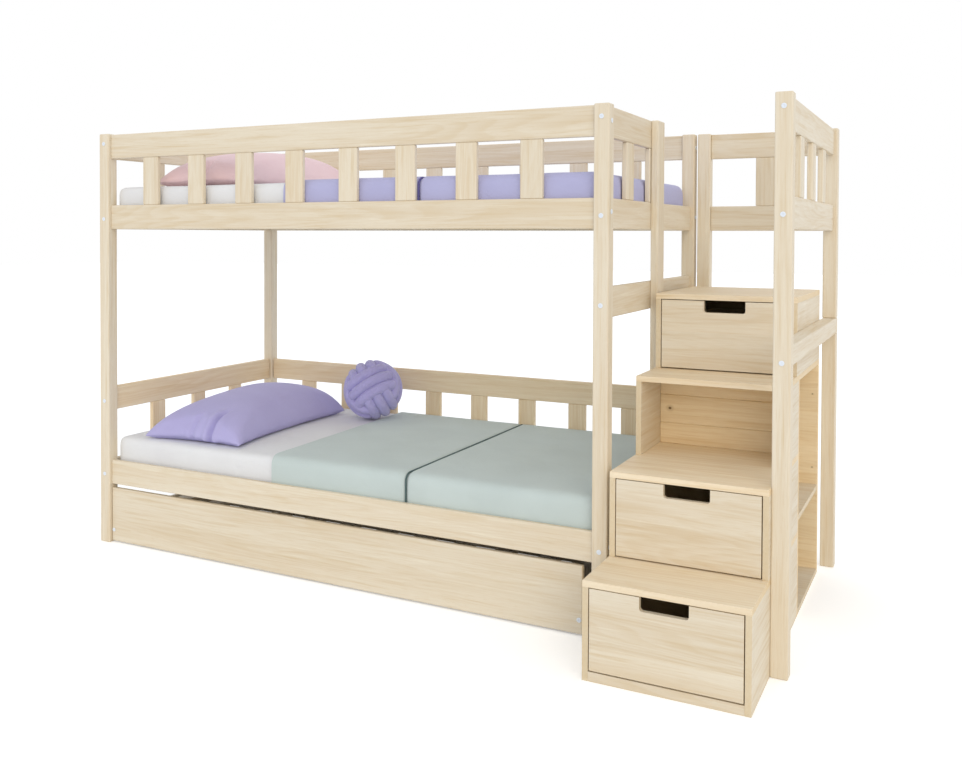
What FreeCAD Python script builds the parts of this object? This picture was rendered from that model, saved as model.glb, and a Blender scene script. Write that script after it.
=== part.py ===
import FreeCAD, Part
import math
import os

# A bunk bed of pale pine: two bunks, a pull-out bed on wheels under the lower one, and a
# separate stair unit with three drawers, a niche, a side bookcase and a handrail.
# Lengths are in millimetres. While it is built, X runs along the bed from the outer face of
# the left posts, Y runs to the wall from the front of the front posts, and Z is up from the
# floor. The last step moves the origin to the middle of the footprint.

V = FreeCAD.Vector

# Bed frame
bed_length = 2080.0          # over the posts
bed_width = 1094.0           # over the posts
post_width = 48.0            # along X
post_depth = 46.0            # along Y
post_height = 1611.0
rail_thickness = 20.0
rail_height = 94.0
top_rail_drop = 3.0          # from the tops of the posts to the upper guard's top rails
upper_guard_gap = 183.0      # between the upper bunk's rails and the guard's top rails
mid_rail_gap = 174.0         # between the upper bunk's rails and the one below, right end only
lower_guard_bottom = 519.0   # back and left end only
lower_rail_bottom = 231.0
frame_round = 4.0            # eased arrises of the bed's timber
box_round = 1.0              # the same on the step boxes and drawers

# Guard slats
slat_width = 75.0
slat_thickness = 18.0
side_slat_count = 8
side_end_extra = 19.0        # the outermost gaps are this much wider
end_slat_count = 3
end_end_extra = 34.0
entry_slat_count = 2

# Entry at the right end of the upper bunk
entry_post_thickness = 25.0  # along X, on the outer faces of the end rails
entry_post_depth = 80.0      # along Y
entry_gap = 474.0            # from the entry post to the back post
entry_post_drop = 3.0        # below the tops of the posts
entry_slat_inset = 14.0      # the last slat stops this far inside the entry post's back edge

# Slatted bases
ledge_size = 20.0
base_slat_width = 70.0
base_slat_thickness = 18.0
base_slat_count = 13
base_slat_margin = 12.0      # from the posts to the outermost slats
base_slat_play = 2.0         # at the ends of the slats

# Bolts: round heads with a hexagon socket
bolt_radius = 3.0
bolt_length = 95.0
bolt_clearance = 0.3
head_radius = 7.5
head_height = 2.0
socket_across = 5.0
socket_depth = 1.4
top_side_bolt_rise = 46.0    # above the bottom of a top rail, bolts along X
top_end_bolt_rise = 58.0     # the same, bolts along Y
side_bolt_rise = 52.0        # above the bottom of a lower rail, bolts along X
end_bolt_rise = 40.0         # the same, bolts along Y

# Bedding
upper_mattress_thickness = 130.0
lower_mattress_thickness = 145.0
mattress_corner = 60.0       # in plan
mattress_edge = 32.0         # rounding of the top and bottom edges
blanket_side = 9.0           # thickness at the sides
blanket_top = 10.0           # thickness on top
blanket_play = 2.0           # from the rails
soft_gap = 0.3               # between soft pieces
blanket_hem_rise = 12.0      # above the slats
upper_blanket_start = 865.0  # from the left posts' outer face
lower_blanket_start = 806.0
upper_blanket_split = 1414.0  # where each cover's two pieces meet
lower_blanket_split = 1368.0
blanket_split_gap = 3.0
pillow_length = 845.0        # across the bed
pillow_width = 472.0
pillow_crown = 165.0
pillow_seam_rise = 26.0
pillow_draw = 26.0           # how far the long sides are drawn in
pillow_tip = 9.0             # height left at the sewn ends
pillow_turn = 4.0            # degrees in plan, as it was laid down
lower_pillow_x = 372.0
lower_pillow_y = 482.0
upper_pillow_x = 415.0
upper_pillow_y = 505.0
knot_radius = 130.0
knot_x = 745.0
knot_y = 850.0
knot_groove = 7.0
knot_strand = 43.0           # width of each band
knot_reach = 71.0            # from the middle of a band to its ends
knot_face = (0.356, -0.845, 0.400)   # the way that one face of the ball looks
knot_lay = (0.702, 0.518, 0.488)     # the way that its bands run

# Pull-out bed
trundle_left_gap = 2.0
trundle_right_gap = 32.0
trundle_front_height = 210.0
trundle_front_lift = 6.0
trundle_depth = 992.0        # over front and back boards
trundle_board_top = 110.0
trundle_slat_count = 12
trundle_slat_inset = 24.0    # from the side boards to the outermost slats
bearer_width = 94.0
bearer_thickness = 18.0
bearer_inset = 80.0          # from the side boards
beam_height = 38.0           # middle bearer
trundle_bolt_height = 50.0
trundle_bolt_length = 60.0
wheel_radius = 20.0
wheel_width = 16.0
wheel_end_inset = 110.0      # from the front and back boards
axle_radius = 3.0
axle_clearance = 0.05
axle_overhang = 1.5
fork_plate = 42.0
fork_thickness = 3.0
fork_play = 1.0              # between the wheel and each cheek
fork_cheek_depth = 24.0
fork_cheek_drop = 6.0        # below the axle

# Stair unit
stair_gap = 10.0             # from the bed's posts to the stair's posts
box_gap = 18.0               # from the bed's posts to the step boxes
box_width = 450.0
stair_front = -5.0           # front face of the outer front post
stair_back_step = 12.0       # the back posts stand this far behind the bed's
beam_bottom = 861.0
beam_depth = 56.0
panel = 17.0
tread_thickness = 18.0
base_height = 26.5
rise = 249.5
step_fronts = (-267.0, -33.0, 229.0, 452.0)
case_front = 512.0           # back face of the wall behind the lower three boxes
box_back = 985.0
shelf_top = 323.0
niche_board = 94.0
niche_groove = 3.0           # eased edges of the boards at the back of the niche
link_radius = 9.0
link_heights = (300.0, 900.0)
entry_link_heights = (620.0, 900.0)

# Drawers, in steps 1, 2 and 4
drawer_steps = (0, 1, 3)
drawer_play = 3.0            # at each side of the front
drawer_top_play = 2.5
drawer_lift = 4.0
drawer_depth = 450.0
drawer_wall = 12.0
drawer_side_play = 6.0
drawer_side_height = 180.0
drawer_back_height = 164.0
drawer_floor = 6.0
drawer_floor_rise = 6.0
glide_gap = 0.3
glide_inset = 10.0
handle_width = 132.0
handle_depth = 38.0
handle_corner = 9.0

# Worked out from the sizes above
top_rail_bottom = post_height - top_rail_drop - rail_height
upper_rail_bottom = top_rail_bottom - upper_guard_gap - rail_height
mid_rail_bottom = upper_rail_bottom - mid_rail_gap - rail_height
entry_post_height = post_height - entry_post_drop
inner_left = post_width
inner_right = bed_length - post_width
inner_front = post_depth
inner_back = bed_width - post_depth
rail_recess_x = (post_width - rail_thickness) / 2
rail_recess_y = (post_depth - rail_thickness) / 2
front_rail = (rail_recess_y, rail_recess_y + rail_thickness)
back_rail = (bed_width - rail_recess_y - rail_thickness, bed_width - rail_recess_y)
left_rail = (rail_recess_x, rail_recess_x + rail_thickness)
right_rail = (bed_length - rail_recess_x - rail_thickness, bed_length - rail_recess_x)
entry_back = inner_back - entry_gap
entry_front = entry_back - entry_post_depth
entry_face = right_rail[1] + entry_post_thickness
upper_base_top = upper_rail_bottom + ledge_size + base_slat_thickness
lower_base_top = lower_rail_bottom + ledge_size + base_slat_thickness
blanket_edge_x = (left_rail[1] + blanket_play, right_rail[0] - blanket_play)
blanket_edge_y = (front_rail[1] + blanket_play, back_rail[0] - blanket_play)
stair_post_left = bed_length + stair_gap
box_left = bed_length + box_gap
box_right = box_left + box_width
stair_back = bed_width + stair_back_step
opening_left = box_left + panel
opening_right = box_right - panel
wall_front = case_front - panel
step_tops = [base_height + rise * (step + 1) for step in range(len(step_fronts))]
step_floors = [base_height] + step_tops[:-1]
drawer_height = rise - tread_thickness - drawer_top_play - drawer_lift

nodes = {}
bolts = []


def span(start, size):
    return (start, start + size)


def centred(middle, size):
    return (middle - size / 2, middle + size / 2)


def block(x, y, z):
    return Part.makeBox(x[1] - x[0], y[1] - y[0], z[1] - z[0], V(x[0], y[0], z[0]))


def board(x, y, z, arris=frame_round):
    """A length of timber with every arris eased."""
    thinnest = min(x[1] - x[0], y[1] - y[0], z[1] - z[0])
    solid = block(x, y, z)
    return solid.makeFillet(min(arris, 0.2 * thinnest), solid.Edges)


def box_board(x, y, z):
    """A board of the step boxes or the drawers, with crisper arrises."""
    return board(x, y, z, box_round)


def rod(point, direction, radius, length):
    return Part.makeCylinder(radius, length, point, direction)


def spread(low, high, count, width, extra):
    """Places of count slats between low and high, the outermost gaps wider by extra."""
    gap = (high - low - count * width - 2 * extra) / (count + 1)
    first = low + gap + extra
    return [span(first + i * (gap + width), width) for i in range(count)]


def evenly(low, high, count, width):
    """Places of count slats with the outermost ones at low and high."""
    pitch = (high - low - width) / (count - 1)
    return [span(low + i * pitch, width) for i in range(count)]


# ---- Bolts

def bolt(point, direction, length):
    head = rod(point - direction * head_height, direction, head_radius, head_height)
    head = head.makeFillet(0.4 * head_height, [head.Edges[0], head.Edges[2]])
    shank = rod(point, direction, bolt_radius, length)
    corners = []
    for turn in range(7):
        angle = math.radians(60 * turn)
        reach = socket_across / math.sqrt(3)
        corners.append(V(reach * math.cos(angle), reach * math.sin(angle), 0))
    socket = Part.Face(Part.makePolygon(corners)).extrude(V(0, 0, socket_depth))
    socket.Placement = FreeCAD.Placement(
        point - direction * head_height, FreeCAD.Rotation(V(0, 0, 1), direction))
    return head.fuse(shank).cut(socket).removeSplitter()


def bolt_hole(point, direction, length):
    return rod(point, direction, bolt_radius + bolt_clearance, length + bolt_clearance)


def bolts_along_x(middle_y, height, left, right):
    """A bolt through each post into the ends of a rail along X."""
    if left is not None:
        bolts.append((V(left, middle_y, height), V(1, 0, 0), bolt_length))
    if right is not None:
        bolts.append((V(right, middle_y, height), V(-1, 0, 0), bolt_length))


def bolts_along_y(middle_x, height, front, back):
    """A bolt through each post into the ends of a rail along Y."""
    if front is not None:
        bolts.append((V(middle_x, front, height), V(0, 1, 0), bolt_length))
    if back is not None:
        bolts.append((V(middle_x, back, height), V(0, -1, 0), bolt_length))


def drilled(solid, holes):
    for hole in holes:
        if solid.BoundBox.intersect(hole.BoundBox):
            solid = solid.cut(hole)
    return solid


# ---- Bed frame

def bed_posts():
    left = span(0, post_width)
    right = span(inner_right, post_width)
    front = span(0, post_depth)
    back = span(inner_back, post_depth)
    height = (0, post_height)
    nodes["post_front_left"] = [board(left, front, height)]
    nodes["post_front_right"] = [board(right, front, height)]
    nodes["post_back_left"] = [board(left, back, height)]
    nodes["post_back_right"] = [board(right, back, height)]
    nodes["entry_post"] = [board(span(right_rail[1], entry_post_thickness),
                                 span(entry_front, entry_post_depth), (0, entry_post_height))]


def bed_rails():
    length = (inner_left, inner_right)
    width = (inner_front, inner_back)
    upper = span(upper_rail_bottom, rail_height)
    lower = span(lower_rail_bottom, rail_height)
    top = span(top_rail_bottom, rail_height)
    guard = span(lower_guard_bottom, rail_height)
    nodes["upper_side_rails"] = [board(length, front_rail, upper), board(length, back_rail, upper)]
    nodes["upper_end_rails"] = [board(left_rail, width, upper), board(right_rail, width, upper)]
    nodes["lower_side_rails"] = [board(length, front_rail, lower), board(length, back_rail, lower)]
    nodes["lower_end_rails"] = [board(left_rail, width, lower), board(right_rail, width, lower)]
    nodes["mid_end_rail"] = [board(right_rail, width, span(mid_rail_bottom, rail_height))]
    nodes["upper_guard_side_rails"] = [board(length, front_rail, top),
                                       board(length, back_rail, top)]
    nodes["upper_guard_end_rails"] = [board(left_rail, width, top),
                                      board(right_rail, (inner_front, entry_back), top)]
    nodes["lower_guard_back_rail"] = [board(length, back_rail, guard)]
    nodes["lower_guard_end_rail"] = [board(left_rail, width, guard)]


def guard_slats():
    upper = (upper_rail_bottom + rail_height, top_rail_bottom)
    lower = (lower_rail_bottom + rail_height, lower_guard_bottom)
    along = spread(inner_left, inner_right, side_slat_count, slat_width, side_end_extra)
    across = spread(inner_front, inner_back, end_slat_count, slat_width, end_end_extra)
    entry_end = entry_back - entry_slat_inset
    entry_step = (entry_end - inner_front) / entry_slat_count
    beside_entry = [span(inner_front + entry_step * (i + 1) - slat_width, slat_width)
                    for i in range(entry_slat_count)]
    front = centred(sum(front_rail) / 2, slat_thickness)
    back = centred(sum(back_rail) / 2, slat_thickness)
    left = centred(sum(left_rail) / 2, slat_thickness)
    right = centred(sum(right_rail) / 2, slat_thickness)
    nodes["upper_guard_front_slats"] = [board(x, front, upper) for x in along]
    nodes["upper_guard_back_slats"] = [board(x, back, upper) for x in along]
    nodes["upper_guard_end_slats"] = ([board(left, y, upper) for y in across]
                                      + [board(right, y, upper) for y in beside_entry])
    nodes["lower_guard_slats"] = ([board(x, back, lower) for x in along]
                                  + [board(left, y, lower) for y in across])


def slatted_bases():
    ledges = []
    length = (inner_left, inner_right)
    places = evenly(inner_left + base_slat_margin, inner_right - base_slat_margin,
                    base_slat_count, base_slat_width)
    reach = (front_rail[1] + base_slat_play, back_rail[0] - base_slat_play)
    for bunk, rail_bottom in (("upper", upper_rail_bottom), ("lower", lower_rail_bottom)):
        height = span(rail_bottom, ledge_size)
        ledges.append(board(length, span(front_rail[1], ledge_size), height))
        ledges.append(board(length, span(back_rail[0] - ledge_size, ledge_size), height))
        slat_height = span(rail_bottom + ledge_size, base_slat_thickness)
        nodes[bunk + "_bed_slats"] = [board(x, reach, slat_height) for x in places]
    nodes["slat_ledges"] = ledges


def bed_bolts():
    front = sum(front_rail) / 2
    back = sum(back_rail) / 2
    left = sum(left_rail) / 2
    right = sum(right_rail) / 2
    for height in (top_rail_bottom + top_side_bolt_rise, upper_rail_bottom + side_bolt_rise,
                   lower_rail_bottom + side_bolt_rise):
        bolts_along_x(front, height, 0, bed_length)
        bolts_along_x(back, height, 0, bed_length)
    for height in (upper_rail_bottom + end_bolt_rise, lower_rail_bottom + end_bolt_rise):
        bolts_along_y(left, height, 0, bed_width)
        bolts_along_y(right, height, 0, bed_width)
    bolts_along_x(back, lower_guard_bottom + side_bolt_rise, 0, bed_length)
    bolts_along_y(left, lower_guard_bottom + end_bolt_rise, 0, bed_width)
    bolts_along_y(left, top_rail_bottom + top_end_bolt_rise, 0, bed_width)
    bolts_along_y(right, top_rail_bottom + top_end_bolt_rise, 0, None)
    bolts_along_y(right, mid_rail_bottom + end_bolt_rise, 0, bed_width)


# ---- Bedding

def rounded_slab(x, y, z, corner, edge):
    """A slab with round corners in plan and rounded top and bottom edges."""
    slab = block(x, y, z)
    uprights = [e for e in slab.Edges if abs(e.BoundBox.ZLength - (z[1] - z[0])) < 0.01]
    slab = slab.makeFillet(corner, uprights)
    rims = [e for e in slab.Edges if e.BoundBox.ZLength < 0.01]
    return slab.makeFillet(edge, rims)


def grown(pair, amount):
    return (pair[0] - amount, pair[1] + amount)


def mattress(base_top, thickness):
    return rounded_slab(grown(blanket_edge_x, -blanket_side), grown(blanket_edge_y, -blanket_side),
                        span(base_top, thickness), mattress_corner, mattress_edge)


def blanket(base_top, thickness, start, end):
    """A bedcover over the mattress between two places, tucked down its sides."""
    outer = rounded_slab(blanket_edge_x, blanket_edge_y, span(base_top, thickness + blanket_top),
                         mattress_corner + blanket_side, mattress_edge + blanket_side)
    inner = rounded_slab(grown(blanket_edge_x, soft_gap - blanket_side),
                         grown(blanket_edge_y, soft_gap - blanket_side),
                         (base_top - soft_gap, base_top + thickness + soft_gap),
                         mattress_corner + soft_gap, mattress_edge + soft_gap)
    kept = block((start, end), grown(blanket_edge_y, 1),
                 (base_top + blanket_hem_rise, base_top + thickness + 2 * blanket_top))
    return outer.common(kept).cut(inner)


def pillow(middle_x, middle_y, bottom):
    """A crowned pillow, flat underneath, with its long sides drawn in between the corners."""
    stations = 9
    sections = []
    for i in range(stations):
        part = 2 * i / (stations - 1) - 1
        fullness = 1 - part ** 2
        half = pillow_width / 2 - pillow_draw * fullness
        crown = pillow_tip + (pillow_crown - pillow_tip) * fullness ** 0.6
        seam = bottom + pillow_tip / 2 + (pillow_seam_rise - pillow_tip / 2) * fullness ** 0.5
        foot = half - 1.2 * pillow_seam_rise
        lean = half - 0.35 * pillow_seam_rise
        y = middle_y + part * pillow_length / 2
        left, right = V(middle_x - half, y, seam), V(middle_x + half, y, seam)
        foot_left, foot_right = V(middle_x - foot, y, bottom), V(middle_x + foot, y, bottom)
        under = bottom + 0.3 * (seam - bottom)
        sections.append(Part.Wire([
            Part.Arc(left, V(middle_x, y, bottom + crown), right).toShape(),
            Part.Arc(right, V(middle_x + lean, y, under), foot_right).toShape(),
            Part.LineSegment(foot_right, foot_left).toShape(),
            Part.Arc(foot_left, V(middle_x - lean, y, under), left).toShape()]))
    room = block(centred(middle_x, 2 * pillow_width), centred(middle_y, 2 * pillow_length),
                 span(bottom, 2 * pillow_crown))
    cushion = Part.makeLoft(sections, True, False).common(room)
    return cushion.rotate(V(middle_x, middle_y, 0), V(0, 0, 1), pillow_turn)


def knot(centre):
    """A ball woven of bands: three lie side by side on each of its six faces, square to those
    of the faces beside it, with a groove along each band's edges."""
    grooves = []
    for turn in (FreeCAD.Rotation(), FreeCAD.Rotation(V(1, 1, 1), 120),
                 FreeCAD.Rotation(V(1, 1, 1), 240)):
        for face in (0, 180):
            for line in (-1.5, -0.5, 0.5, 1.5):
                offset = line * knot_strand
                ring = math.sqrt(knot_radius ** 2 - offset ** 2)
                half = math.degrees(math.asin(knot_reach / ring))
                groove = Part.makeTorus(ring, knot_groove, V(0, 0, offset), V(0, 0, 1),
                                        0, 360, 2 * half)
                groove.rotate(V(0, 0, 0), V(0, 0, 1), face - half)
                groove.Placement = FreeCAD.Placement(V(0, 0, 0), turn).multiply(groove.Placement)
                grooves.append(groove)
    quarters = []
    for start in (10, 100, 190, 280):
        quarter = Part.makeSphere(knot_radius, V(0, 0, 0), V(0, 0, 1), -90, 90, 90)
        quarter.rotate(V(0, 0, 0), V(0, 0, 1), start)
        quarters.append(quarter)
    whole = quarters[0].fuse(quarters[1:])
    whole.rotate(V(0, 0, 0), V(1, -1, 0.3), 50)
    ball = whole.cut(grooves).Solids[0]
    face = V(*knot_face).normalize()
    across = face.cross(V(*knot_lay)).normalize()
    lay = across.cross(face)
    across = across * -1
    ball.Placement = FreeCAD.Placement(FreeCAD.Matrix(
        face.x, lay.x, across.x, centre.x,
        face.y, lay.y, across.y, centre.y,
        face.z, lay.z, across.z, centre.z, 0, 0, 0, 1))
    return ball


def bedding():
    upper = (upper_base_top, upper_mattress_thickness)
    lower = (lower_base_top, lower_mattress_thickness)
    upper_top = sum(upper) + soft_gap
    lower_top = sum(lower) + soft_gap
    upper_foot_start = upper_blanket_split + blanket_split_gap
    lower_foot_start = lower_blanket_split + blanket_split_gap
    nodes["upper_mattress"] = [mattress(*upper)]
    nodes["lower_mattress"] = [mattress(*lower)]
    nodes["upper_blanket"] = [blanket(*upper, upper_blanket_start, upper_blanket_split),
                              blanket(*upper, upper_foot_start, bed_length)]
    nodes["lower_blanket_head"] = [blanket(*lower, lower_blanket_start, lower_blanket_split)]
    nodes["lower_blanket_foot"] = [blanket(*lower, lower_foot_start, bed_length)]
    nodes["upper_pillow"] = [pillow(upper_pillow_x, upper_pillow_y, upper_top)]
    nodes["lower_pillow"] = [pillow(lower_pillow_x, lower_pillow_y, lower_top)]
    nodes["knot_cushion"] = [knot(V(knot_x, knot_y, lower_top + knot_radius))]


# ---- Pull-out bed

def caster_fork(x, y, plate_top):
    """A plate under the bearer, with a cheek on each side of the wheel."""
    plate = block(centred(x, fork_plate), centred(y, fork_plate),
                  (plate_top - fork_thickness, plate_top))
    inside = wheel_width / 2 + fork_play
    cheek_z = (wheel_radius - fork_cheek_drop, plate_top - fork_thickness / 2)
    for side in (-1, 1):
        faces = sorted((x + side * inside, x + side * (inside + fork_thickness)))
        plate = plate.fuse(block(faces, centred(y, fork_cheek_depth), cheek_z))
    reach = inside + fork_thickness + axle_overhang
    hole = rod(V(x - reach, y, wheel_radius), V(1, 0, 0), axle_radius + axle_clearance, 2 * reach)
    return plate.cut(hole).removeSplitter()


def caster_axle(x, y):
    reach = wheel_width / 2 + fork_play + fork_thickness + axle_overhang
    return rod(V(x - reach, y, wheel_radius), V(1, 0, 0), axle_radius, 2 * reach)


def caster_wheel(x, y):
    tyre = rod(V(x - wheel_width / 2, y, wheel_radius), V(1, 0, 0), wheel_radius, wheel_width)
    tyre = tyre.makeChamfer(0.1 * wheel_width, [tyre.Edges[0], tyre.Edges[2]])
    bore = rod(V(x - wheel_width, y, wheel_radius), V(1, 0, 0),
               axle_radius + axle_clearance, 2 * wheel_width)
    return tyre.cut(bore)


def pull_out_bed():
    left = inner_left + trundle_left_gap
    right = inner_right - trundle_right_gap
    inside = (left + rail_thickness, right - rail_thickness)
    boards = (trundle_board_top - rail_height, trundle_board_top)
    back_board = (front_rail[0] + trundle_depth - rail_thickness, front_rail[0] + trundle_depth)
    within = (front_rail[1], back_board[0])
    holes = []
    trundle_bolts = []
    for middle in (left + rail_thickness / 2, right - rail_thickness / 2):
        place = (V(middle, front_rail[0], trundle_bolt_height), V(0, 1, 0), trundle_bolt_length)
        trundle_bolts.append(bolt(*place))
        holes.append(bolt_hole(*place))
    front_height = span(trundle_front_lift, trundle_front_height)
    nodes["trundle_front"] = [drilled(board((left, right), front_rail, front_height), holes)]
    sides = [board((left, inside[0]), within, boards), board((inside[1], right), within, boards)]
    nodes["trundle_boards"] = [drilled(side, holes) for side in sides]
    nodes["trundle_boards"].append(board((left, right), back_board, boards))
    nodes["trundle_bolts"] = trundle_bolts

    slat_z = (trundle_board_top - base_slat_thickness, trundle_board_top)
    places = evenly(inside[0] + trundle_slat_inset, inside[1] - trundle_slat_inset,
                    trundle_slat_count, base_slat_width)
    nodes["trundle_slats"] = [board(x, within, slat_z) for x in places]

    ledge_z = (slat_z[0] - ledge_size, slat_z[0])
    bearer_z = (ledge_z[0] - bearer_thickness, ledge_z[0])
    bearers = [span(inside[0] + bearer_inset, bearer_width),
               span(inside[1] - bearer_inset - bearer_width, bearer_width)]
    nodes["trundle_bearers"] = [
        board(inside, span(within[0], ledge_size), ledge_z),
        board(inside, span(within[1] - ledge_size, ledge_size), ledge_z),
        board((bearers[0][1], bearers[1][0]), centred(sum(within) / 2, ledge_size),
              (slat_z[0] - beam_height, slat_z[0]))]
    nodes["trundle_bearers"] += [board(x, within, bearer_z) for x in bearers]

    nodes["caster_forks"] = []
    nodes["caster_axles"] = []
    for end, y in (("front", within[0] + wheel_end_inset), ("back", within[1] - wheel_end_inset)):
        for side, bearer in (("left", bearers[0]), ("right", bearers[1])):
            x = sum(bearer) / 2
            nodes["caster_forks"].append(caster_fork(x, y, bearer_z[0]))
            nodes["caster_axles"].append(caster_axle(x, y))
            nodes["wheel_" + end + "_" + side] = [caster_wheel(x, y)]


# ---- Stair unit

def stair_posts():
    outer = span(box_right, post_width)
    back = (stair_back - post_depth, stair_back)
    front = span(stair_front, post_depth)
    beam_top = beam_bottom + beam_depth
    nodes["stair_front_post"] = [board(outer, front, (0, post_height))]
    nodes["stair_inner_post"] = [board(span(stair_post_left, post_width), back, (0, post_height))]
    nodes["stair_outer_post"] = [board(outer, back, (0, beam_bottom)),
                                 board(outer, back, (beam_top, post_height))]
    nodes["stair_beam"] = [board(outer, (front[1], stair_back), (beam_bottom, beam_top))]


def stair_guard():
    """Two rails and a slat at the back, and two rails and three slats at the outer side."""
    back = span(stair_back - rail_recess_y - rail_thickness, rail_thickness)
    outer = span(box_right + rail_recess_x, rail_thickness)
    along = (stair_post_left + post_width, box_right)
    across = (stair_front + post_depth, stair_back - post_depth)
    top = span(top_rail_bottom, rail_height)
    low = span(upper_rail_bottom, rail_height)
    between = (low[1], top[0])
    nodes["stair_back_rails"] = [board(along, back, top), board(along, back, low)]
    nodes["stair_outer_rails"] = [board(outer, across, top), board(outer, across, low)]
    slats = [board(centred(sum(along) / 2, slat_width), centred(sum(back) / 2, slat_thickness),
                   between)]
    for y in spread(across[0], across[1], end_slat_count, slat_width, end_end_extra):
        slats.append(board(centred(sum(outer) / 2, slat_thickness), y, between))
    nodes["stair_guard_slats"] = slats
    heights = (top_rail_bottom + top_end_bolt_rise, upper_rail_bottom + end_bolt_rise)
    for height in heights:
        bolts_along_y(sum(outer) / 2, height, stair_front, stair_back)
    bolts_along_y(sum(outer) / 2, beam_bottom + head_radius + 2, stair_front, None)
    for height in (top_rail_bottom + top_side_bolt_rise, upper_rail_bottom + side_bolt_rise):
        bolts_along_x(sum(back) / 2, height, stair_post_left, None)


def step_boxes():
    width = (box_left, box_right)
    left = (box_left, opening_left)
    right = (opening_right, box_right)
    opening = (opening_left, opening_right)
    case_top = step_tops[2] - tread_thickness
    sides = []
    treads = []
    for step, front in enumerate(step_fronts):
        bottom = step_floors[step] if step else 0
        under = step_tops[step] - tread_thickness
        back = box_back if step == 3 else wall_front
        tread_back = box_back if step >= 2 else wall_front
        sides.append(box_board(left, (front, back), (bottom, under)))
        sides.append(box_board(right, (front, back), (bottom, under)))
        treads.append(box_board(width, (front, tread_back), (under, step_tops[step])))
    sides.append(box_board(left, (case_front, box_back), (0, case_top)))
    nodes["stair_side_panels"] = sides
    nodes["stair_treads"] = treads

    niche_floor = step_tops[1]
    middle = centred((niche_floor + case_top) / 2, niche_board)
    niche_back = span(step_fronts[3], panel)
    case_back = (box_back - panel, box_back)
    last_floor = step_tops[2]
    nodes["stair_walls"] = [
        box_board(width, (wall_front, case_front), (0, case_top)),
        box_board((opening_left, box_right), case_back, (0, case_top)),
        box_board(opening, case_back, (last_floor, step_tops[3] - tread_thickness)),
        board(opening, niche_back, (niche_floor, middle[0]), niche_groove),
        board(opening, niche_back, middle, niche_groove),
        board(opening, niche_back, (middle[1], case_top), niche_groove)]

    base_front = span(step_fronts[0], panel)
    case_room = (case_front, box_back - panel)
    nodes["stair_shelves"] = [
        box_board(opening, base_front, (0, base_height)),
        box_board(opening, (base_front[1], wall_front), (base_height - panel, base_height)),
        box_board((opening_left, box_right), case_room, (0, panel)),
        box_board((opening_left, box_right), case_room, (shelf_top - panel, shelf_top))]


def drawer_name(step):
    return "drawer_" + str(step + 1)


def drawer_front(step):
    y = span(step_fronts[step], panel)
    z = span(step_floors[step] + drawer_lift, drawer_height)
    front = box_board(grown((opening_left, opening_right), -drawer_play), y, z)
    middle = (opening_left + opening_right) / 2
    notch = block(centred(middle, handle_width), grown(y, 1),
                  (z[1] - handle_depth, z[1] + handle_depth))
    low = [e for e in notch.Edges if abs(e.BoundBox.YLength - panel - 2) < 0.01
           and e.BoundBox.ZMax < z[1]]
    return front.cut(notch.makeFillet(handle_corner, low))


def drawer_box(step):
    bottom = step_floors[step] + drawer_lift
    front = step_fronts[step] + panel
    back = step_fronts[step] + drawer_depth
    outer = grown((opening_left, opening_right), -drawer_side_play)
    inner = grown(outer, -drawer_wall)
    side_z = span(bottom, drawer_side_height)
    return [box_board((outer[0], inner[0]), (front, back), side_z),
            box_board((inner[1], outer[1]), (front, back), side_z),
            box_board(inner, (back - drawer_wall, back),
                      span(bottom + drawer_floor_rise, drawer_back_height)),
            block(inner, (front, back - drawer_wall),
                  span(bottom + drawer_floor_rise, drawer_floor))]


def drawers():
    glides = []
    outer = grown((opening_left, opening_right), -drawer_side_play)
    for step in drawer_steps:
        nodes[drawer_name(step) + "_front"] = [drawer_front(step)]
        nodes[drawer_name(step) + "_box"] = drawer_box(step)
        y = (step_fronts[step] + panel + glide_inset,
             step_fronts[step] + drawer_depth - glide_inset)
        z = span(step_floors[step], drawer_lift - glide_gap)
        glides.append(block(span(outer[0], drawer_wall), y, z))
        glides.append(block(span(outer[1] - drawer_wall, drawer_wall), y, z))
    nodes["drawer_glides"] = glides


def links():
    """Spacers between the bed and the stair unit, where bolts join the two."""
    back_y = (inner_back + stair_back_step + bed_width) / 2
    entry_y = (case_front + entry_back) / 2
    nodes["link_spacers"] = (
        [rod(V(bed_length, back_y, z), V(1, 0, 0), link_radius, stair_gap) for z in link_heights]
        + [rod(V(entry_face, entry_y, z), V(1, 0, 0), link_radius, box_left - entry_face)
           for z in entry_link_heights])


# ---- Everything

bed_posts()
bed_rails()
guard_slats()
slatted_bases()
bed_bolts()
bedding()
pull_out_bed()
stair_posts()
stair_guard()
step_boxes()
drawers()
links()

bolt_holes = [bolt_hole(*place) for place in bolts]
for name in ("post_front_left", "post_front_right", "post_back_left", "post_back_right",
             "upper_side_rails", "upper_end_rails", "lower_side_rails", "lower_end_rails",
             "mid_end_rail", "upper_guard_side_rails", "upper_guard_end_rails",
             "lower_guard_back_rail", "lower_guard_end_rail",
             "stair_front_post", "stair_inner_post", "stair_outer_post", "stair_beam",
             "stair_back_rails", "stair_outer_rails"):
    nodes[name] = [drilled(solid, bolt_holes) for solid in nodes[name]]
nodes["frame_bolts"] = [bolt(*place) for place in bolts]

box = FreeCAD.BoundBox()
for solids in nodes.values():
    for solid in solids:
        box.add(solid.BoundBox)
origin = V(box.Center.x, box.Center.y, 0)

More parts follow.
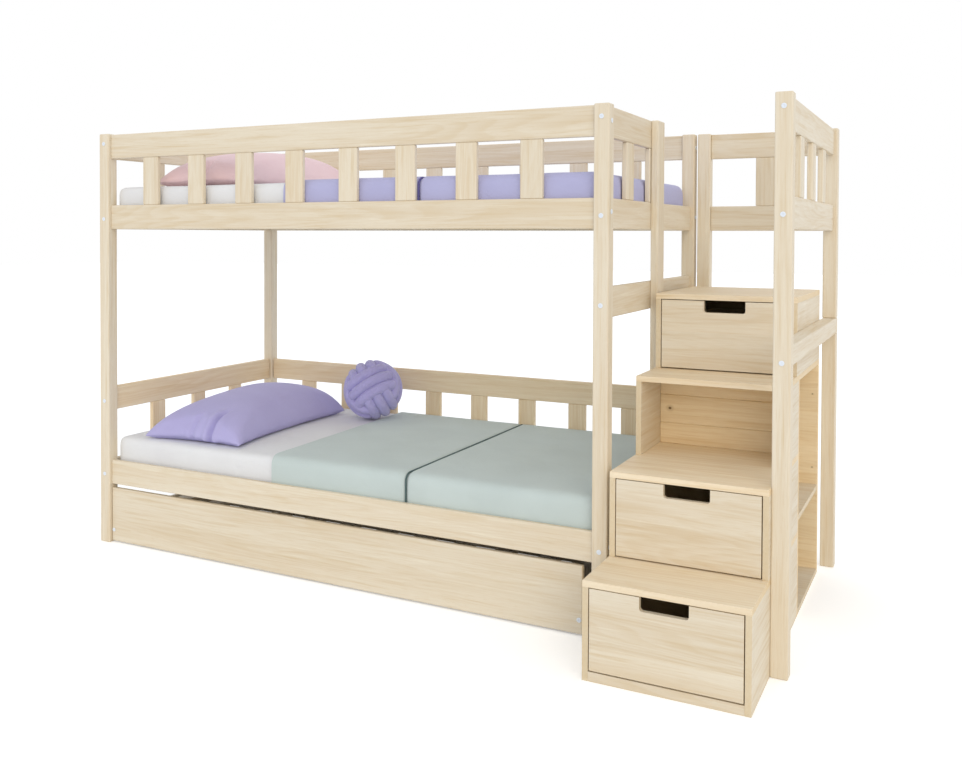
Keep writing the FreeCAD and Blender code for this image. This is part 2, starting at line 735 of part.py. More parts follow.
os.makedirs("parts", exist_ok=True)
for name, solids in nodes.items():
    shape = Part.makeCompound(solids)
    shape.translate(origin * -1)
    shape.exportStep("parts/" + name + ".step")
    faulty = [i for i, solid in enumerate(solids) if not solid.isValid() or solid.Volume <= 0]
    print(name, len(solids), "solids", round(shape.Volume / 1000), "cm3", "faulty:", faulty)
print("nodes", len(nodes))
print("size", round(box.XLength, 2), round(box.YLength, 2), round(box.ZLength, 2))
print("origin", round(origin.x, 3), round(origin.y, 3), "lowest", round(box.ZMin, 4))
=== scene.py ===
import math

import bmesh
import bpy
import numpy as np
from mathutils import Matrix, Vector, noise


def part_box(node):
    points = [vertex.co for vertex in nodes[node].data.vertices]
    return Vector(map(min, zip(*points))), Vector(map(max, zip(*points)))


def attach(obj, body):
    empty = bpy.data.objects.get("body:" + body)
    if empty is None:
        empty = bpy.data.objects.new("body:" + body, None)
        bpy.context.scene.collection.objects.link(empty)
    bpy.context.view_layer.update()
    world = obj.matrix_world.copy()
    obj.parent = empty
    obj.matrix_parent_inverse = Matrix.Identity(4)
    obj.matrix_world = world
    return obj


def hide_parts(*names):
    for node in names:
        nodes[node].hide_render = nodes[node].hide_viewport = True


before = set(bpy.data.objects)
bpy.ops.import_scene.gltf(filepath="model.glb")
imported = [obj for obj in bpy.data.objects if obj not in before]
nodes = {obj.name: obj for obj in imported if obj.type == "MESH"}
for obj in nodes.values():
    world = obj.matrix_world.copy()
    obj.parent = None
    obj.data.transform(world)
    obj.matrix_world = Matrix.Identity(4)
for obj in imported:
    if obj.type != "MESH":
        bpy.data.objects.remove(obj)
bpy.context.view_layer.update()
scene = bpy.context.scene
scene.view_settings.view_transform = "Standard"
print("frame loaded:", len(nodes), "nodes")


def linear(red, green, blue):
    # 0-255 screen colour to the linear values that a shader takes
    out = []
    for value in (red, green, blue):
        value = value / 255
        out.append(value / 12.92 if value <= 0.04045 else ((value + 0.055) / 1.055) ** 2.4)
    return (*out, 1.0)


def newObject(name, mesh):
    made = bpy.data.objects.new(name, mesh)
    scene.collection.objects.link(made)
    return made


def meshFrom(name, points, faces, smooth=True):
    mesh = bpy.data.meshes.new(name)
    mesh.from_pydata([tuple(p) for p in points], [], faces)
    mesh.validate()
    mesh.polygons.foreach_set("use_smooth", [smooth] * len(mesh.polygons))
    return newObject(name, mesh)


def getPoints(piece):
    points = np.zeros(len(piece.data.vertices) * 3)
    piece.data.vertices.foreach_get("co", points)
    return points.reshape(-1, 3)


def setPoints(piece, points):
    piece.data.vertices.foreach_set("co", np.asarray(points, float).ravel())
    piece.data.update()


def bakeModifiers(piece):
    # the evaluated mesh takes the place of the mesh with its modifiers
    graph = bpy.context.evaluated_depsgraph_get()
    graph.update()
    baked = bpy.data.meshes.new_from_object(piece.evaluated_get(graph))
    piece.modifiers.clear()
    piece.data = baked
    piece.data.polygons.foreach_set("use_smooth", [True] * len(piece.data.polygons))
    return piece


def smoothStep(low, high, value):
    part = np.clip((value - low) / (high - low), 0, 1)
    return part * part * (3 - 2 * part)


class Shader:
    # a material's node tree, with short calls to add and join nodes
    def __init__(self, name):
        self.material = bpy.data.materials.new(name)
        self.material.use_nodes = True
        self.nodes = self.material.node_tree.nodes
        self.links = self.material.node_tree.links
        self.surface = self.nodes["Principled BSDF"]

    def add(self, kind, settings=None, **inputs):
        made = self.nodes.new(kind)
        for key, value in (settings or {}).items():
            setattr(made, key, value)
        for key, value in inputs.items():
            self.put(made, key, value)
        return made

    def put(self, node, key, value):
        slot = node.inputs[int(key[1:]) if key[0] == "i" and key[1:].isdigit() else key]
        if isinstance(value, bpy.types.NodeSocket):
            self.links.new(value, slot)
        else:
            slot.default_value = value

    def math(self, operation, first, second=0.0, third=0.0):
        made = self.add("ShaderNodeMath", {"operation": operation}, i0=first, i1=second, i2=third)
        return made.outputs[0]

    def vector(self, operation, first, second=(0, 0, 0)):
        made = self.add("ShaderNodeVectorMath", {"operation": operation}, i0=first, i1=second)
        return made.outputs[0]

    def scaled(self, first, factor):
        made = self.add("ShaderNodeVectorMath", {"operation": "SCALE"}, i0=first, Scale=factor)
        return made.outputs[0]

    def place(self):
        return self.add("ShaderNodeTexCoord").outputs["Object"]

    def noise(self, where, scale, detail=2.0, rough=0.5, distortion=0.0):
        made = self.add("ShaderNodeTexNoise", Vector=where, Scale=scale, Detail=detail,
                        Roughness=rough, Distortion=distortion)
        return made.outputs["Fac"]

    def remap(self, value, low, high, newLow, newHigh):
        made = self.add("ShaderNodeMapRange", {"interpolation_type": "SMOOTHSTEP"})
        for key, number in zip(range(5), (value, low, high, newLow, newHigh)):
            self.put(made, "i%d" % key, number)
        return made.outputs[0]

    def mix(self, factor, first, second, blend="MIX"):
        made = self.add("ShaderNodeMix", {"data_type": "RGBA", "blend_type": blend})
        self.put(made, "i0", factor)
        self.put(made, "i6", first)
        self.put(made, "i7", second)
        return made.outputs[2]

    def bump(self, height, distance, strength=1.0, normal=None):
        made = self.add("ShaderNodeBump", Height=height, Distance=distance, Strength=strength)
        if normal is not None:
            self.put(made, "Normal", normal)
        return made.outputs["Normal"]


woodLook = {
    "pale": linear(229, 218, 198), "warm": linear(223, 209, 186), "streak": linear(208, 184, 143),
    "light": linear(238, 229, 210), "endGrain": linear(216, 196, 160),
    "knotEye": linear(92, 62, 34), "roughness": 0.52, "specular": 0.32,
    "bandWidth": 0.045, "streakWidth": 0.009, "poreWidth": 0.0022,  # across the grain, in metres
    "bandLength": 0.9, "streakLength": 0.30, "poreLength": 0.045,   # along the grain
    "figureWidth": 0.12, "figureLength": 1.6, "figureLines": 24.0,  # the arches in a board's face
    "figureDepth": (0.05, 0.27),
    "wave": 0.012, "boardTone": 0.02, "poreDepth": 0.0004,
}


def makeWood(name, grain, cell=(0, 0, 0), phase=(0, 0, 0), paintedLightTint=(1, 1, 1), spots=(), figured=1.0):
    # lacquered pine: grain is the axis that it runs along, and cell is the spacing of the
    # separate boards along each axis, each with its own stretch of the figure and its own
    # random brightness; paintedLightTint is painted light or painted shade on the whole piece
    look = woodLook
    shade = Shader(name)
    place = shade.place()
    split = shade.add("ShaderNodeSeparateXYZ", Vector=place).outputs
    board = shade.add("ShaderNodeCombineXYZ")
    for axis in range(3):
        if cell[axis]:
            moved = shade.math("SUBTRACT", split[axis], phase[axis])
            shade.put(board, "i%d" % axis,
                      shade.math("FLOOR", shade.math("DIVIDE", moved, cell[axis])))
    chance = shade.add("ShaderNodeTexWhiteNoise", {"noise_dimensions": "3D"},
                       Vector=shade.vector("ADD", board.outputs[0], (0.37, 0.61, 0.13)))
    along = "XYZ".index(grain)
    across = [axis for axis in range(3) if axis != along]
    turned = shade.add("ShaderNodeCombineXYZ", i0=split[along], i1=split[across[0]],
                       i2=split[across[1]]).outputs[0]
    moved = shade.vector("ADD", turned, shade.scaled(chance.outputs["Color"], 3.0))

    def stretched(length, width):
        return shade.vector("MULTIPLY", moved, (1 / length, 1 / width, 1 / width))

    # the lines of equal height in a stretched noise are the arches of a flat-sawn face
    figure = shade.noise(stretched(look["figureLength"], look["figureWidth"]), 1.0, 1.0, 0.4)
    ring = shade.math("FRACT", shade.math("MULTIPLY", figure, look["figureLines"]))
    ring = shade.math("MULTIPLY", shade.remap(ring, 0.15, 0.80, 0, 1),
                      shade.remap(ring, 0.86, 1.0, 1, 0))
    # the finer lines wander slowly along the board
    wander = shade.add("ShaderNodeTexNoise", Vector=stretched(0.5, 0.06), Scale=1.0, Detail=2.0)
    drift = shade.scaled(shade.vector("SUBTRACT", wander.outputs["Color"], (0.5, 0.5, 0.5)),
                         look["wave"] * 2)
    moved = shade.vector("ADD", moved, shade.vector("MULTIPLY", drift, (0, 1, 1)))
    bands = shade.noise(stretched(look["bandLength"], look["bandWidth"]), 1.0, 2.0, 0.5)
    streaks = shade.noise(stretched(look["streakLength"], look["streakWidth"]), 1.0, 3.0, 0.6)
    pores = shade.noise(stretched(look["poreLength"], look["poreWidth"]), 1.0, 2.0, 0.6)
    colour = shade.mix(shade.remap(bands, 0.33, 0.70, 0, 1), look["pale"], look["warm"])
    shallow, deep = (depth * figured for depth in look["figureDepth"])
    ringDepth = shade.math("MULTIPLY", ring, shade.remap(bands, 0.3, 0.7, shallow, deep))
    colour = shade.mix(ringDepth, colour, look["streak"])
    colour = shade.mix(shade.remap(streaks, 0.46, 0.80, 0, 0.56), colour, look["streak"])
    colour = shade.mix(shade.remap(streaks, 0.20, 0.43, 0.65, 0), colour, look["light"])
    colour = shade.mix(shade.remap(pores, 0.5, 0.85, 0, 0.40), colour, look["streak"])
    facing = shade.add("ShaderNodeSeparateXYZ",
                       Vector=shade.add("ShaderNodeNewGeometry").outputs["Normal"]).outputs[along]
    ends = shade.remap(shade.math("ABSOLUTE", facing), 0.6, 0.95, 0, 0.65)
    colour = shade.mix(ends, colour, look["endGrain"])
    # each board's own random brightness, times paintedLightTint, the painted light or painted
    # shade tint of the whole piece
    level = shade.math("MULTIPLY_ADD", chance.outputs["Value"], 2 * look["boardTone"],
                       1 - look["boardTone"])
    boardToneAndPaintedLight = shade.add("ShaderNodeCombineXYZ", **{"i%d" % axis: shade.math("MULTIPLY", level,
                                                  paintedLightTint[axis]) for axis in range(3)})
    colour = shade.mix(1.0, colour, boardToneAndPaintedLight.outputs[0], "MULTIPLY")
    for spot in spots:
        # a small knot: a dark eye in a paler ring
        away = shade.vector("MULTIPLY", shade.vector("SUBTRACT", place, spot[:3]), spot[3:])
        reach = shade.add("ShaderNodeVectorMath", {"operation": "LENGTH"}, i0=away)
        colour = shade.mix(shade.remap(reach.outputs["Value"], 0.0045, 0.011, 0.55, 0), colour,
                           look["streak"])
        colour = shade.mix(shade.remap(reach.outputs["Value"], 0.0015, 0.0042, 0.85, 0), colour,
                           look["knotEye"])
    shade.put(shade.surface, "Base Color", colour)
    shade.put(shade.surface, "Roughness",
              shade.remap(streaks, 0.3, 0.8, look["roughness"] - 0.05, look["roughness"] + 0.08))
    shade.surface.inputs["Specular IOR Level"].default_value = look["specular"]
    height = shade.math("ADD", shade.math("MULTIPLY", pores, 0.6), streaks)
    height = shade.math("MULTIPLY_ADD", ring, -0.3, height)
    shade.put(shade.surface, "Normal", shade.bump(height, look["poreDepth"], 0.5))
    return shade.material


clothLook = {
    "slubScale": 260.0, "slubShade": 0.22, "mottleScale": 4.5, "mottleShade": 0.5,
    "threadDepth": 0.12,                    # as a share of the weave's spacing
    "specular": 0.2, "sheenRoughness": 0.45,
}


def makeFabric(name, colour, shadow, weave=0.0011, fuzz=0.25, wrinkle=0.0012, wrinkleSize=0.14,
               roughness=0.85):
    # woven cloth: a fine over-and-under weave, slubs in the yarn and a soft mottle
    look = clothLook
    shade = Shader(name)
    place = shade.place()
    slub = shade.noise(shade.vector("MULTIPLY", place, (1, 0.15, 1)), look["slubScale"], 2.0, 0.6)
    mottle = shade.noise(place, look["mottleScale"], 3.0, 0.55)
    tint = shade.mix(shade.remap(mottle, 0.3, 0.72, 0, look["mottleShade"]), colour, shadow)
    tint = shade.mix(shade.remap(slub, 0.45, 0.8, 0, look["slubShade"]), tint, shadow)
    turn = 2 * math.pi / weave
    split = shade.add("ShaderNodeSeparateXYZ", Vector=place).outputs
    flat = [shade.math("MULTIPLY", split[0], turn),
            shade.math("MULTIPLY", shade.math("ADD", split[1], split[2]), turn)]
    threads = shade.math("MULTIPLY", shade.math("SINE", flat[0]), shade.math("SINE", flat[1]))
    crumple = shade.noise(place, 1 / wrinkleSize, 4.0, 0.55, 0.6)
    normal = shade.bump(crumple, wrinkle * 6, 0.8)
    normal = shade.bump(threads, weave * look["threadDepth"], 0.6, normal)
    shade.put(shade.surface, "Base Color", tint)
    shade.put(shade.surface, "Normal", normal)
    shade.surface.inputs["Roughness"].default_value = roughness
    shade.surface.inputs["Specular IOR Level"].default_value = look["specular"]
    shade.surface.inputs["Sheen Weight"].default_value = fuzz
    shade.surface.inputs["Sheen Roughness"].default_value = look["sheenRoughness"]
    return shade.material


def makePlain(name, colour, other, roughness, metallic=0.0, grainScale=420.0, bumpDepth=0.00006):
    shade = Shader(name)
    place = shade.place()
    speckle = shade.noise(place, grainScale, 3.0, 0.6)
    shade.put(shade.surface, "Base Color", shade.mix(speckle, colour, other))
    shade.put(shade.surface, "Roughness",
              shade.remap(speckle, 0.3, 0.7, roughness - 0.06, roughness + 0.06))
    shade.put(shade.surface, "Normal", shade.bump(speckle, bumpDepth, 0.5))
    shade.surface.inputs["Metallic"].default_value = metallic
    return shade.material


def slatCell(node, width, count, axis):
    # the spacing of a row of equal slats, and where their first cell starts
    low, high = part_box(node)
    pitch = (high[axis] - low[axis] - width) / (count - 1)
    cell, phase = [0, 0, 0], [0, 0, 0]
    cell[axis] = pitch
    phase[axis] = low[axis] - (pitch - width) / 2
    return cell, phase


timberLook = {
    "guardSlat": 0.075, "bedSlat": 0.070,   # widths, in metres
    "stepRise": 0.2495, "wallBoard": 0.094, "wallTop": 0.594,
    # guardPaintedLight and treadPaintedLight are painted light: the lower guard and the treads lie
    # in shade and are made lighter and warmer
    "guardPaintedLight": (1.12, 1.06, 0.97), "treadPaintedLight": (1.12, 1.07, 0.99),
    # wallPaintedBounce is painted bounce light, lighter and warmer, on the niche walls;
    # boxPaintedShade is painted shade, darker and browner, in the drawer boxes
    "wallPaintedBounce": (1.16, 1.07, 0.90), "boxPaintedShade": (0.95, 0.92, 0.86),
    # small knots: their place, and how much each axis is squeezed
    "knots": ((0.851, 0.0315, 0.643, 0.6, 0.3, 0.7), (1.232, 0.5475, 0.648, 1.5, 0.3, 1.8),
              (1.233, 0.5475, 0.383, 1.5, 0.3, 1.8)),
}


def dressTimber():
    look = timberLook
    wide = (0.5, 0.5, 0)
    pieces = {}
    post = makeWood("pinePost", "Z", wide, figured=0.3)
    for node in ("post_front_left", "post_front_right", "post_back_left", "post_back_right",
                 "entry_post", "stair_front_post", "stair_inner_post", "stair_outer_post"):
        pieces[node] = post
    sideRail = makeWood("pineSideRail", "X", (0, 0.5, 0.3))
    for node in ("upper_side_rails", "lower_side_rails", "upper_guard_side_rails",
                 "stair_back_rails", "slat_ledges", "trundle_bearers"):
        pieces[node] = sideRail
    # painted light: the lower guard's rails and slats lie in the upper bunk's shade and are made
    # lighter and warmer
    guardPaintedLight = look["guardPaintedLight"]
    pieces["lower_guard_back_rail"] = makeWood("pineLowerBackLit", "X", (0, 0.5, 0.3), paintedLightTint=guardPaintedLight)
    pieces["lower_guard_end_rail"] = makeWood("pineLowerEndLit", "Y", (0.5, 0, 0.3), paintedLightTint=guardPaintedLight)
    endRail = makeWood("pineEndRail", "Y", (0.5, 0, 0.3))
    for node in ("upper_end_rails", "lower_end_rails", "mid_end_rail", "upper_guard_end_rails",
                 "stair_outer_rails", "stair_beam", "trundle_boards"):
        pieces[node] = endRail
    for node in ("upper_guard_front_slats", "upper_guard_back_slats"):
        pieces[node] = makeWood("pine_" + node, "Z", *slatCell(node, look["guardSlat"], 8, 0))
    pieces["lower_guard_slats"] = makeWood("pineLowerSlatsLit", "Z", (0.2246, 0.25, 0), (0.06, 0, 0),
                                           guardPaintedLight)
    pieces["upper_guard_end_slats"] = makeWood("pineEndSlats", "Z", (0.5, 0.25, 0), (0, 0.03, 0))
    pieces["stair_guard_slats"] = makeWood("pineStairSlats", "Z", (0.2, 0.25, 0), (0.03, 0.03, 0))
    for node, count in (("upper_bed_slats", 13), ("lower_bed_slats", 13), ("trundle_slats", 12)):
        pieces[node] = makeWood("pine_" + node, "Y", *slatCell(node, look["bedSlat"], count, 0))
    pieces["trundle_front"] = makeWood("pineTrundleFront", "X")
    rise, wallBoard = look["stepRise"], look["wallBoard"]
    pieces["stair_side_panels"] = makeWood("pineStepSide", "Y", (0.3, 0, rise), (0, 0, 0.0085))
    # painted light: the treads, shaded by the steps above, are made lighter and warmer
    pieces["stair_treads"] = makeWood("pineTreadLit", "X", (0, 0, rise), (0, 0, 0.15),
                                      look["treadPaintedLight"])
    pieces["stair_shelves"] = makeWood("pineShelf", "X", (0, 0, 0.15))
    # painted bounce light: the niche and bookcase walls are made lighter and warmer, as light
    # thrown back by the wood around them
    pieces["stair_walls"] = makeWood("pineWallBounceLit", "X", (0, 0.2, wallBoard),
                                     (0, 0, look["wallTop"] - 6 * wallBoard),
                                     look["wallPaintedBounce"], look["knots"])
    for step in (1, 2, 4):
        pieces["drawer_%d_front" % step] = makeWood("pineDrawer%d" % step, "X",
                                                    (0, 0, 0.5), (0, 0, 0.1 * step))
        # painted shade: the drawer boxes are made darker and browner, as the shade inside the
        # drawers
        pieces["drawer_%d_box" % step] = makeWood("drawerBoardShaded%d" % step, "Y", (0.15, 0, 0),
                                                  paintedLightTint=look["boxPaintedShade"])
    pieces["drawer_glides"] = makeWood("pineGlide", "Y")
    for node, material in pieces.items():
        dress(node, material)


def dress(node, material):
    mesh = nodes[node].data
    mesh.materials.clear()
    mesh.materials.append(material)


def dressFittings():
    cap = makePlain("boltPaint", linear(232, 238, 248), linear(222, 230, 242), 0.35)
    steel = makePlain("zincSteel", linear(176, 178, 182), linear(150, 152, 158), 0.35, 1.0)
    nylon = makePlain("wheelNylon", linear(48, 48, 52), linear(38, 38, 42), 0.45)
    spacer = makePlain("spacerPlastic", linear(206, 196, 178), linear(196, 186, 168), 0.5)
    dress("frame_bolts", cap)
    dress("trundle_bolts", cap)
    dress("link_spacers", spacer)
    dress("caster_forks", steel)
    dress("caster_axles", steel)
    for node in nodes:
        if node.startswith("wheel_"):
            dress(node, nylon)


dressTimber()
dressFittings()
print("timber and fittings dressed")


whiteSheet = makeFabric("whiteSheet", linear(231, 232, 235), linear(222, 222, 226), fuzz=0.1)
sageCotton = makeFabric("sageCotton", linear(202, 214, 213), linear(192, 204, 203), fuzz=0.12)
lavenderCotton = makeFabric("lavenderCotton", linear(184, 179, 224), linear(173, 167, 214),
                            fuzz=0.15)
lavenderCover = makeFabric("lavenderCover", linear(184, 184, 221), linear(174, 173, 212),
                           fuzz=0.15)
# painted shade: the piping is coloured far darker than its cover, as the shadow line in the
# cover's seam
sageShadowPiping = makeFabric("sageShadowPiping", linear(92, 112, 112), linear(78, 98, 99), fuzz=0.1)
lavenderShadowPiping = makeFabric("lavenderShadowPiping", linear(104, 98, 158), linear(92, 86, 146), fuzz=0.1)
pinkCotton = makeFabric("pinkCotton", linear(240, 212, 216), linear(232, 200, 206), fuzz=0.15)
lavenderPlush = makeFabric("lavenderPlush", linear(185, 179, 230), linear(167, 160, 216),
                           weave=0.0022, fuzz=0.4, wrinkle=0.002, wrinkleSize=0.03)

mattressLook = {"voxel": 0.0095, "planCorner": 0.028, "edge": 0.024, "unevenness": 0.0018,
                "channelDepth": 0.009, "channelWidth": 0.010,  # the dip under a cover's seam
                "channelLines": (-0.020, -0.014, -0.009, -0.005, 0.0, 0.005, 0.009, 0.014, 0.020)}


def roundedSlab(low, high, corner, edge, voxel):
    # quads over the whole closed form, so that it can swell and dip
    slab = bmesh.new()
    bmesh.ops.create_cube(slab, size=1.0)
    size, middle = high - low, (high + low) / 2
    for vertex in slab.verts:
        vertex.co = Vector([vertex.co[i] * size[i] + middle[i] for i in range(3)])
    uprights = [e for e in slab.edges if abs(e.verts[0].co.z - e.verts[1].co.z) > 0.5 * size.z]
    bmesh.ops.bevel(slab, geom=uprights, offset=corner, segments=8, profile=0.5,
                    affect="EDGES", clamp_overlap=True)
    rims = [e for e in slab.edges if abs(e.verts[0].co.z - e.verts[1].co.z) < 1e-6
            and len(e.link_faces) == 2
            and any(abs(f.normal.z) > 0.9 for f in e.link_faces)
            and any(abs(f.normal.z) < 0.1 for f in e.link_faces)]
    bmesh.ops.bevel(slab, geom=rims, offset=edge, segments=6, profile=0.5,
                    affect="EDGES", clamp_overlap=True)
    mesh = bpy.data.meshes.new("slab")
    slab.to_mesh(mesh)
    slab.free()
    made = newObject("slab", mesh)
    remesh = made.modifiers.new("remesh", "REMESH")
    remesh.mode = "VOXEL"
    remesh.voxel_size = voxel
    remesh.use_smooth_shade = True
    calm = made.modifiers.new("calm", "SMOOTH")
    calm.iterations = 6
    calm.factor = 0.5
    return bakeModifiers(made)


def cutAway(mesh, spot, outward):
    # drops what lies past a plane, and leaves the edge there straight
    everything = mesh.verts[:] + mesh.edges[:] + mesh.faces[:]
    bmesh.ops.bisect_plane(mesh, geom=everything, plane_co=spot, plane_no=outward,
                           clear_outer=True)


def addLine(mesh, x):
    # a line of points across the cloth, where its shape changes quickly
    everything = mesh.verts[:] + mesh.edges[:] + mesh.faces[:]
    bmesh.ops.bisect_plane(mesh, geom=everything, plane_co=(x, 0, 0), plane_no=(1, 0, 0))


def makeMattress(node, seam):
    look = mattressLook
    low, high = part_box(node)
    made = roundedSlab(low, high, look["planCorner"], look["edge"], look["voxel"])
    made.name = node.replace("mattress", "mattressSheet")
    ruled = bmesh.new()
    ruled.from_mesh(made.data)
    for step in look["channelLines"]:
        addLine(ruled, seam + step)
    bmesh.ops.remove_doubles(ruled, verts=ruled.verts[:], dist=0.0007)
    ruled.normal_update()
    ruled.to_mesh(made.data)
    ruled.free()
    points = getPoints(made)
    normals = np.array([vertex.normal for vertex in made.data.vertices])
    dip = np.exp(-((points[:, 0] - seam) / look["channelWidth"]) ** 2) * look["channelDepth"]
    points -= normals * dip[:, None]
    middle = (np.array(low) + np.array(high)) / 2
    rise = np.array([noise.fractal(Vector(p * 3.1), 1.0, 2.0, 2) for p in points])
    top = smoothStep(0.3, 1.0, (points[:, 2] - middle[2]) / (high.z - middle[2]))
    points[:, 2] -= look["unevenness"] * (0.6 + rise) * top
    points[:, 2] = np.clip(points[:, 2], low.z, high.z)
    setPoints(made, points)
    made.data.materials.append(whiteSheet)
    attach(made, "bed")
    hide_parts(node)
    return made


pillowLook = {
    "across": 33, "along": 57,                     # points of the first form
    "drawSide": 0.026, "drawEnd": 0.014,           # how far its sides pull in
    "tip": 0.009, "seam": 0.026,                   # how thick its corners and its rim are
    "start": (1.0, 1.0, 0.95), "voxel": 0.0085,    # smaller before it is blown up
    "pressure": 4.0, "frames": 20, "cap": 0.014,   # how the cloth is blown up
    "mass": 0.3, "stretch": 12, "shear": 6, "bend": 0.4,
    "turn": math.radians(4.0), "lean": 0.12,       # the crown lies nearer to the wall
    "height": 0.90,                                # of the space that its solid holds
}


def makePillow(node, material, creases):
    look = pillowLook
    low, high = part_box(node)
    turn = look["turn"]
    # the box holds the turned pillow: its own length and width come back from that
    spanX, spanY = high.x - low.x, high.y - low.y
    cosTurn, sinTurn = math.cos(turn), math.sin(turn)
    length = (spanY * cosTurn - spanX * sinTurn) / (cosTurn ** 2 - sinTurn ** 2)
    width = (spanX * cosTurn - spanY * sinTurn) / (cosTurn ** 2 - sinTurn ** 2)
    crown = (high.z - low.z) * look["height"]
    across, along = look["across"], look["along"]

    def spot(u, v, top):
        halfWide = width / 2 - look["drawSide"] * (1 - v ** 2)
        halfLong = length / 2 - look["drawEnd"] * (1 - u ** 2)
        full = max((1 - u ** 4) * (1 - v ** 4), 0)
        fuller = max((1 - u ** 2) * (1 - v ** 2), 0)
        seam = look["tip"] / 2 + (look["seam"] - look["tip"] / 2) * (1 - (u * v) ** 2)
        if top:
            z = seam + (crown - seam) * (0.45 * full ** 0.5 + 0.55 * fuller ** 0.5)
        else:
            z = seam * (1 - min(1.0, 3.5 * full) ** 0.7)
        return u * halfWide, v * halfLong, z

    points, index = [], {}
    for top in (True, False):
        for j in range(along):
            for i in range(across):
                edge = i in (0, across - 1) or j in (0, along - 1)
                if edge and not top:
                    index[top, i, j] = index[True, i, j]
                    continue
                u = math.sin((2 * i / (across - 1) - 1) * math.pi / 2)
                v = math.sin((2 * j / (along - 1) - 1) * math.pi / 2)
                index[top, i, j] = len(points)
                points.append(spot(u, v, top))
    faces = []
    for top in (True, False):
        for j in range(along - 1):
            for i in range(across - 1):
                quad = [index[top, i, j], index[top, i + 1, j], index[top, i + 1, j + 1],
                        index[top, i, j + 1]]
                faces.append(quad if top else quad[::-1])
    made = meshFrom(node.replace("pillow", "pillowCase"), points, faces)
    puffUp(made, look)
    shaped = getPoints(made)
    shaped[:, 2] *= 1 + look["lean"] * (shaped[:, 1] / (length / 2) - 0.2)
    setPoints(made, shaped)
    finer = made.modifiers.new("finer", "SUBSURF")
    finer.levels = finer.render_levels = 1
    bakeModifiers(made)
    for crease in creases:
        foldIn(made, crease)
    shaped = getPoints(made)
    turned = shaped.copy()
    turned[:, 0] = shaped[:, 0] * cosTurn - shaped[:, 1] * sinTurn
    turned[:, 1] = shaped[:, 0] * sinTurn + shaped[:, 1] * cosTurn
    middle = (low + high) / 2
    turned += np.array([middle.x, middle.y, low.z])
    turned[:, 2] = np.clip(turned[:, 2], low.z + 0.0002, high.z + 0.004)
    setPoints(made, turned)
    made.data.materials.clear()
    made.data.materials.append(material)
    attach(made, "bed")
    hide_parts(node)
    return made


def foldIn(piece, crease):
    # pulls the cloth in along a short line from the seam, and lifts it a little on both sides
    points = getPoints(piece)
    normals = np.array([vertex.normal for vertex in piece.data.vertices])
    start, end = np.array(crease["from"]), np.array(crease["to"])
    line = end - start
    reach = np.linalg.norm(line)
    line = line / reach
    rel = points[:, :2] - start
    ahead = rel @ line / reach
    beside = rel[:, 0] * line[1] - rel[:, 1] * line[0]
    fade = smoothStep(-0.25, 0.0, ahead) * (1 - smoothStep(0.45, 1.0, ahead))
    valley = np.exp(-(beside / crease["width"]) ** 2)
    ridge = np.exp(-((np.abs(beside) - 2.2 * crease["width"]) / (1.4 * crease["width"])) ** 2)
    above = smoothStep(0.004, 0.02, points[:, 2])
    push = (0.45 * ridge - valley) * crease["depth"] * fade * above
    setPoints(piece, points + normals * push[:, None])


def puffUp(piece, look):
    # cloth with air pressure in it, which gives the seam its small puckers
    shape = getPoints(piece)
    middle = shape.mean(axis=0)
    shrunk = middle + (shape - middle) * look["start"]
    setPoints(piece, shrunk)
    remesh = piece.modifiers.new("remesh", "REMESH")
    remesh.mode = "VOXEL"
    remesh.voxel_size = look["voxel"]
    bakeModifiers(piece)
    before = getPoints(piece)
    cloth = piece.modifiers.new("cloth", "CLOTH")
    settings = cloth.settings
    settings.use_pressure = True
    settings.uniform_pressure_force = look["pressure"]
    settings.effector_weights.gravity = 0.0
    settings.quality = 4
    settings.mass = look["mass"]
    settings.tension_stiffness = look["stretch"]
    settings.compression_stiffness = look["stretch"]
    settings.shear_stiffness = look["shear"]
    settings.bending_stiffness = look["bend"]
    cloth.point_cache.frame_start = 1
    cloth.point_cache.frame_end = look["frames"]
    for step in range(1, look["frames"] + 1):
        scene.frame_set(step)
    bakeModifiers(piece)
    after = getPoints(piece)
    moved = after - before
    far = np.linalg.norm(moved, axis=1, keepdims=True)
    after = before + moved * np.minimum(1, look["cap"] / np.maximum(far, 1e-9))
    setPoints(piece, after)
    scene.frame_set(1)


coverLook = {
    "lift": 0.0058, "thickness": 0.0030,       # above the sheet, and of the cloth
    "ripple": 0.0012, "rippleSize": 0.30, "voxel": 0.0115,
    "rollDepth": 0.0115, "rollWidth": 0.0062,  # the hem turns down where two pieces meet
    "rollLines": (0.0015, 0.0035, 0.006, 0.009, 0.013, 0.018, 0.026),
    "pipingRadius": 0.0031, "pipingRise": 0.0042,
    "stitchStep": 0.0042, "stitchLength": 0.0030, "stitchRadius": 0.00045, "hemWidth": 0.012,
}


